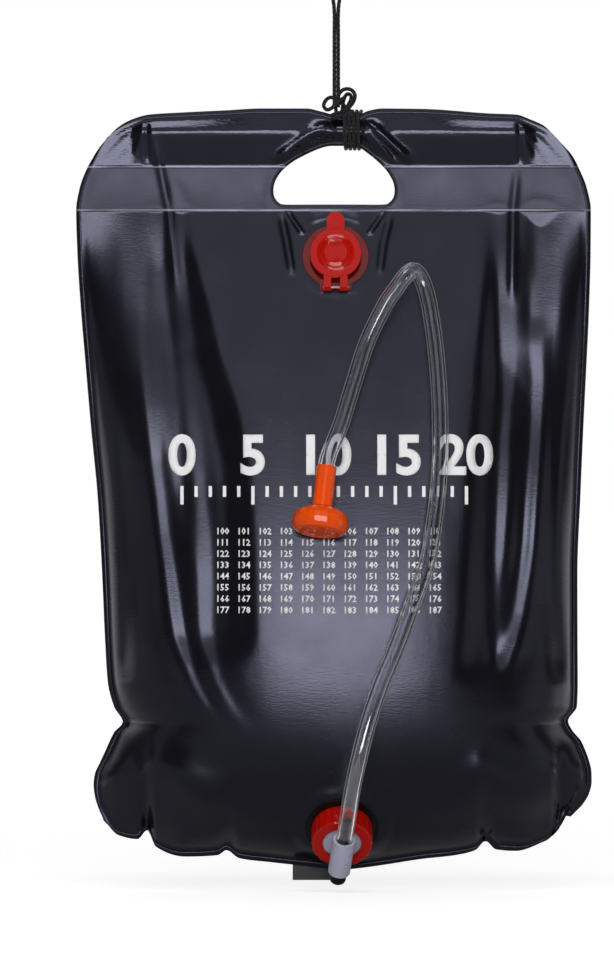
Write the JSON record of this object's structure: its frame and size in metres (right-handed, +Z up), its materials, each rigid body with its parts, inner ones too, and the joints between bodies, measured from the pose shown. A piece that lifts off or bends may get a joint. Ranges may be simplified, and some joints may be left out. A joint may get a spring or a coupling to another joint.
{
  "type": "camp shower bag",
  "caption": "Hanging water bag of welded black film with a capped fill valve, a ring-nut outlet with a small cock, and a clear hose that ends in a pull-down shower rose.",
  "frame": {"origin": "top of the rope's hanging loop, where a hook bears; the bag hangs below it", "axes": "+Z up, -Y towards the front with the fill valve and outlet, +X to the right seen from the front"},
  "size_m": [0.406, 0.1781, 0.7541],
  "materials": {
    "black_film": "semi-gloss black PVC film with a very fine embossed grain",
    "black_moulding": "satin black moulded PVC",
    "rod_plastic": "plain extruded rod",
    "red_moulding": "glossy, slightly translucent red polyethylene",
    "milky_moulding": "milky translucent polypropylene",
    "rubber": "matt black rubber",
    "clear_hose": "clear soft PVC tube",
    "orange_moulding": "glossy orange plastic",
    "black_rope": "braided black cord"
  },
  "bodies": {
    "bag": {"front_panel": "black_film", "back_panel": "black_film", "spreader_rod": "rod_plastic", "fill_flange": "red_moulding", "outlet_flange": "black_moulding", "outlet_washer": "rubber", "outlet_body": "milky_moulding", "outlet_barb": "black_moulding", "hose": "clear_hose", "head_stem": "orange_moulding", "stem_ring": "rubber", "bottom_tab": "black_moulding", "rope_hanger": "black_rope", "rope_knot": "black_rope", "rope_winding": "black_rope"},
    "cap": {"fill_cap": "red_moulding"},
    "nut": {"outlet_nut": "red_moulding"},
    "plug": {"outlet_plug": "black_moulding", "plug_ring": "rubber"},
    "rose": {"rose_body": "orange_moulding", "rose_plate": "orange_moulding"}
  },
  "joints": [
    {"name": "cap_hinge", "type": "hinge", "parent": "bag", "child": "cap", "pos_m": [0.0016, -0.02563, -0.28254], "axis": [1, 0, 0], "range_deg": [0, 150]},
    {"name": "nut_turn", "type": "hinge", "parent": "bag", "child": "nut", "pos_m": [0.0065, -0.04784, -0.705], "axis": [0, -0.766, -0.6428], "range_deg": [0, 360]},
    {"name": "cock_turn", "type": "hinge", "parent": "bag", "child": "plug", "pos_m": [0.0065, -0.07166, -0.72499], "axis": [0.1219, -0.638, 0.7603], "range_deg": [0, 90]},
    {"name": "rose_pull", "type": "slide", "parent": "bag", "child": "rose", "axis": [-0.1093, -0.2588, -0.9597], "range_m": [0, 0.0055]}
  ]
}
